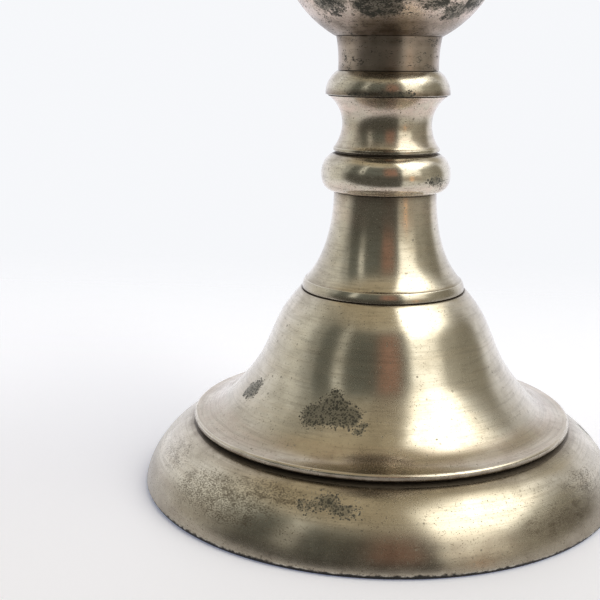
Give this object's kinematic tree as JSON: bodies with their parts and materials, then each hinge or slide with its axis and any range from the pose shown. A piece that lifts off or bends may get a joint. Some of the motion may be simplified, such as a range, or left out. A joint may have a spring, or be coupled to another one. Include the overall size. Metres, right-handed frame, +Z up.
{
  "type": "altar candlestick",
  "caption": "Turned altar candlestick: stepped round foot, bell base, ringed stem with a ball knop, loose drip pan and a pricket for one candle.",
  "frame": {"origin": "centre of the foot's underside, on the table", "axes": "+Z up along the stem's axis, towards the pricket; the object is round about it, so X and Y are arbitrary"},
  "size_m": [0.1494, 0.1494, 0.3457],
  "materials": {
    "aged_brass": "silvered brass worn warm, satin with fine turning lines, dark tarnish spots and pitting",
    "pale_brass": "silvered brass, polished on the high rings, dark dirt at the edges",
    "tarnished_brass": "silvered brass with heavy grey-black tarnish and a pinkish ground",
    "steel": "plain machined steel, dull with age",
    "cast_iron": "rough black-painted sand casting"
  },
  "bodies": {
    "stick": {"foot_flange": "aged_brass", "base_weight": "cast_iron", "bell_base": "aged_brass", "neck_cone": "aged_brass", "lower_ring": "pale_brass", "lower_spool": "aged_brass", "lower_bead": "pale_brass", "lower_collar": "tarnished_brass", "ball_lower_half": "tarnished_brass", "ball_upper_half": "tarnished_brass", "upper_collar": "tarnished_brass", "upper_bead": "pale_brass", "upper_spool": "aged_brass", "upper_ring": "pale_brass", "capital_cone": "aged_brass", "capital_plate": "aged_brass", "pricket": "steel", "capital_washer": "steel", "capital_nut": "steel", "tie_rod": "steel", "spacer_tube": "steel", "foot_washer": "steel", "lock_washer": "steel", "foot_nut": "steel"},
    "pan": {"drip_pan": "pale_brass"}
  },
  "joints": [
    {"name": "pan_lift", "type": "slide", "parent": "stick", "child": "pan", "axis": [0, 0, 1], "range_m": [0, 0.08]}
  ]
}
